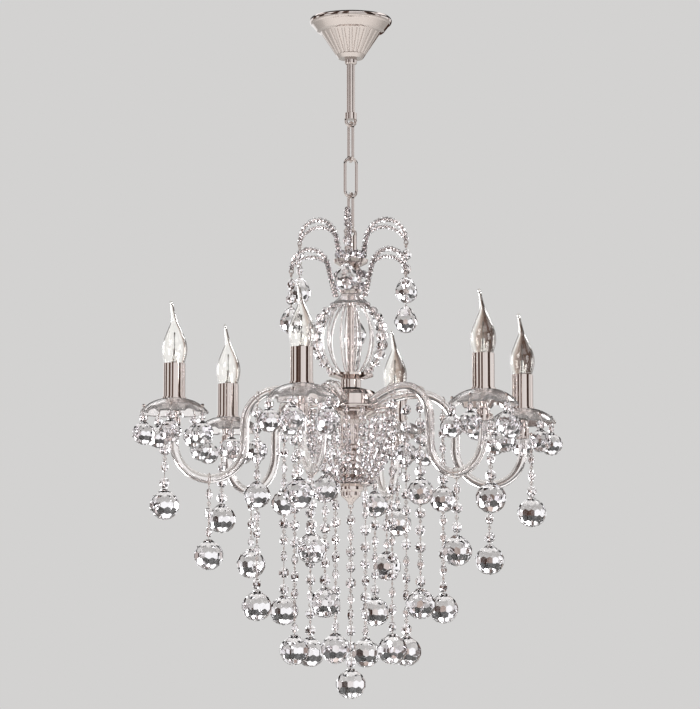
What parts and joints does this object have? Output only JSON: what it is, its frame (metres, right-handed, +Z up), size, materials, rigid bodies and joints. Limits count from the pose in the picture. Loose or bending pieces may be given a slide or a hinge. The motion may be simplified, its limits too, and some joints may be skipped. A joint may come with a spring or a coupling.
{
  "type": "crystal chandelier",
  "caption": "Hanging chandelier with curved glass arms, candle lamps on petalled glass dishes, a beaded crown and tiers of faceted crystal strings on a rod and chain.",
  "frame": {"origin": "point on the ceiling plate's upper face, on the axis that the chandelier hangs on", "axes": "+Z up, out of the ceiling plate's face and along the hanging axis; the first arm stands 15 degrees round from +X"},
  "size_m": [0.587, 0.587, 0.9435],
  "materials": {
    "chrome": "polished chrome plate",
    "zinc_steel": "zinc-plated pressed steel",
    "ceramic_block": "unglazed white ceramic",
    "brass": "turned brass",
    "clear_glass": "clear blown and pressed glass",
    "beaded_wire": "bright wire set with small crystal beads",
    "cut_crystal": "machine-cut clear crystal",
    "lamp_ceramic": "plain white ceramic",
    "lamp_glass": "clear blown lamp glass"
  },
  "bodies": {
    "ceiling": {"ceiling_plate": "zinc_steel", "terminal_block": "ceramic_block", "down_rod": "chrome"},
    "canopy_set": {"canopy": "chrome", "canopy_collar": "chrome"},
    "link_1": {"chain_link_1": "chrome"},
    "link_2": {"chain_link_2": "chrome"},
    "link_3": {"chain_link_3": "chrome"},
    "frame": {"top_loop": "chrome", "stem_tube": "brass", "crown_cup": "chrome", "crown_bell": "clear_glass", "crown_fronds": "beaded_wire", "crown_cage": "cut_crystal", "arm_hub": "chrome", "bead_basket": "cut_crystal", "finial_bowl": "chrome", "arm_ferrules": "chrome", "candle_sleeves": "chrome", "lamp_holders": "lamp_ceramic", "arm_1": "clear_glass", "arm_2": "clear_glass", "arm_3": "clear_glass", "arm_4": "clear_glass", "arm_5": "clear_glass", "arm_6": "clear_glass"},
    "dish_1": {"bobeche_1": "clear_glass", "bobeche_drops_1": "cut_crystal"},
    "lamp_1": {"bulb_1": "lamp_glass"},
    "dish_2": {"bobeche_2": "clear_glass", "bobeche_drops_2": "cut_crystal"},
    "lamp_2": {"bulb_2": "lamp_glass"},
    "dish_3": {"bobeche_3": "clear_glass", "bobeche_drops_3": "cut_crystal"},
    "lamp_3": {"bulb_3": "lamp_glass"},
    "dish_4": {"bobeche_4": "clear_glass", "bobeche_drops_4": "cut_crystal"},
    "lamp_4": {"bulb_4": "lamp_glass"},
    "dish_5": {"bobeche_5": "clear_glass", "bobeche_drops_5": "cut_crystal"},
    "lamp_5": {"bulb_5": "lamp_glass"},
    "dish_6": {"bobeche_6": "clear_glass", "bobeche_drops_6": "cut_crystal"},
    "lamp_6": {"bulb_6": "lamp_glass"},
    "outer_pair_1": {"outer_strings_1": "cut_crystal"},
    "outer_pair_2": {"outer_strings_2": "cut_crystal"},
    "outer_pair_3": {"outer_strings_3": "cut_crystal"},
    "bend_pair_1": {"bend_strings_1": "cut_crystal"},
    "bend_pair_2": {"bend_strings_2": "cut_crystal"},
    "bend_pair_3": {"bend_strings_3": "cut_crystal"},
    "inner_pair_1": {"inner_strings_1": "cut_crystal"},
    "inner_pair_2": {"inner_strings_2": "cut_crystal"},
    "inner_pair_3": {"inner_strings_3": "cut_crystal"},
    "core_pair_1": {"core_strings_1": "cut_crystal"},
    "core_pair_2": {"core_strings_2": "cut_crystal"},
    "core_pair_3": {"core_strings_3": "cut_crystal"},
    "centre_drop": {"centre_string": "cut_crystal"},
    "crown_pair_1": {"crown_drops_1": "cut_crystal"},
    "crown_pair_2": {"crown_drops_2": "cut_crystal"},
    "crown_pair_3": {"crown_drops_3": "cut_crystal"}
  },
  "joints": [
    {"name": "canopy_slide", "type": "slide", "parent": "ceiling", "child": "canopy_set", "axis": [0, 0, -1], "range_m": [0, 0.06]},
    {"name": "link_1_swing", "type": "hinge", "parent": "ceiling", "child": "link_1", "pos_m": [0, 0, -0.152], "axis": [0.9397, 0.342, 0], "range_deg": [-12, 12]},
    {"name": "link_2_swing", "type": "hinge", "parent": "link_1", "child": "link_2", "pos_m": [0, 0, -0.202], "axis": [-0.342, 0.9397, 0], "range_deg": [-12, 12]},
    {"name": "link_3_swing", "type": "hinge", "parent": "link_2", "child": "link_3", "pos_m": [0, 0, -0.252], "axis": [0.9397, 0.342, 0], "range_deg": [-12, 12]},
    {"name": "frame_swing", "type": "hinge", "parent": "link_3", "child": "frame", "pos_m": [0, 0, -0.302], "axis": [-0.342, 0.9397, 0], "range_deg": [-12, 12]},
    {"name": "dish_1_turn", "type": "hinge", "parent": "frame", "child": "dish_1", "pos_m": [0.23955, 0.06419, -0.545], "axis": [0, 0, 1], "continuous": true},
    {"name": "lamp_1_lift", "type": "slide", "parent": "frame", "child": "lamp_1", "axis": [0, 0, 1], "range_m": [0, 0.024]},
    {"name": "dish_2_turn", "type": "hinge", "parent": "frame", "child": "dish_2", "pos_m": [0.06419, 0.23955, -0.545], "axis": [0, 0, 1], "continuous": true},
    {"name": "lamp_2_lift", "type": "slide", "parent": "frame", "child": "lamp_2", "axis": [0, 0, 1], "range_m": [0, 0.024]},
    {"name": "dish_3_turn", "type": "hinge", "parent": "frame", "child": "dish_3", "pos_m": [-0.17536, 0.17536, -0.545], "axis": [0, 0, 1], "continuous": true},
    {"name": "lamp_3_lift", "type": "slide", "parent": "frame", "child": "lamp_3", "axis": [0, 0, 1], "range_m": [0, 0.024]},
    {"name": "dish_4_turn", "type": "hinge", "parent": "frame", "child": "dish_4", "pos_m": [-0.23955, -0.06419, -0.545], "axis": [0, 0, 1], "continuous": true},
    {"name": "lamp_4_lift", "type": "slide", "parent": "frame", "child": "lamp_4", "axis": [0, 0, 1], "range_m": [0, 0.024]},
    {"name": "dish_5_turn", "type": "hinge", "parent": "frame", "child": "dish_5", "pos_m": [-0.06419, -0.23955, -0.545], "axis": [0, 0, 1], "continuous": true},
    {"name": "lamp_5_lift", "type": "slide", "parent": "frame", "child": "lamp_5", "axis": [0, 0, 1], "range_m": [0, 0.024]},
    {"name": "dish_6_turn", "type": "hinge", "parent": "frame", "child": "dish_6", "pos_m": [0.17536, -0.17536, -0.545], "axis": [0, 0, 1], "continuous": true},
    {"name": "lamp_6_lift", "type": "slide", "parent": "frame", "child": "lamp_6", "axis": [0, 0, 1], "range_m": [0, 0.024]},
    {"name": "outer_pair_1_swing", "type": "hinge", "parent": "frame", "child": "outer_pair_1", "pos_m": [0, 0, -0.576], "axis": [0.9659, 0.2588, 0], "range_deg": [-15, 15]},
    {"name": "outer_pair_2_swing", "type": "hinge", "parent": "frame", "child": "outer_pair_2", "pos_m": [0, 0, -0.576], "axis": [0.2588, 0.9659, 0], "range_deg": [-15, 15]},
    {"name": "outer_pair_3_swing", "type": "hinge", "parent": "frame", "child": "outer_pair_3", "pos_m": [0, 0, -0.576], "axis": [-0.7071, 0.7071, 0], "range_deg": [-15, 15]},
    {"name": "bend_pair_1_swing", "type": "hinge", "parent": "frame", "child": "bend_pair_1", "pos_m": [0, 0, -0.649], "axis": [0.9659, 0.2588, 0], "range_deg": [-15, 15]},
    {"name": "bend_pair_2_swing", "type": "hinge", "parent": "frame", "child": "bend_pair_2", "pos_m": [0, 0, -0.649], "axis": [0.2588, 0.9659, 0], "range_deg": [-15, 15]},
    {"name": "bend_pair_3_swing", "type": "hinge", "parent": "frame", "child": "bend_pair_3", "pos_m": [0, 0, -0.649], "axis": [-0.7071, 0.7071, 0], "range_deg": [-15, 15]},
    {"name": "inner_pair_1_swing", "type": "hinge", "parent": "frame", "child": "inner_pair_1", "pos_m": [0, 0, -0.53658], "axis": [0.9659, 0.2588, 0], "range_deg": [-8, 8]},
    {"name": "inner_pair_2_swing", "type": "hinge", "parent": "frame", "child": "inner_pair_2", "pos_m": [0, 0, -0.53658], "axis": [0.2588, 0.9659, 0], "range_deg": [-8, 8]},
    {"name": "inner_pair_3_swing", "type": "hinge", "parent": "frame", "child": "inner_pair_3", "pos_m": [0, 0, -0.53658], "axis": [-0.7071, 0.7071, 0], "range_deg": [-8, 8]},
    {"name": "core_pair_1_swing", "type": "hinge", "parent": "frame", "child": "core_pair_1", "pos_m": [0, 0, -0.52689], "axis": [0.9659, 0.2588, 0], "range_deg": [-3.5, 3.5]},
    {"name": "core_pair_2_swing", "type": "hinge", "parent": "frame", "child": "core_pair_2", "pos_m": [0, 0, -0.52689], "axis": [0.2588, 0.9659, 0], "range_deg": [-3.5, 3.5]},
    {"name": "core_pair_3_swing", "type": "hinge", "parent": "frame", "child": "core_pair_3", "pos_m": [0, 0, -0.52689], "axis": [-0.7071, 0.7071, 0], "range_deg": [-3.5, 3.5]},
    {"name": "centre_drop_swing", "type": "hinge", "parent": "frame", "child": "centre_drop", "pos_m": [0, 0, -0.6851], "axis": [1, 0, 0], "range_deg": [-4, 4]},
    {"name": "crown_pair_1_swing", "type": "hinge", "parent": "frame", "child": "crown_pair_1", "pos_m": [0.0773, 0.0377, -0.31327], "axis": [0.8611, 0.42, 0.2866], "range_deg": [-12, 12]},
    {"name": "crown_pair_2_swing", "type": "hinge", "parent": "frame", "child": "crown_pair_2", "pos_m": [-0.0713, 0.0481, -0.31327], "axis": [-0.7943, 0.5357, 0.2866], "range_deg": [-12, 12]},
    {"name": "crown_pair_3_swing", "type": "hinge", "parent": "frame", "child": "crown_pair_3", "pos_m": [-0.006, -0.0858, -0.31327], "axis": [-0.0668, -0.9557, 0.2866], "range_deg": [-12, 12]}
  ]
}
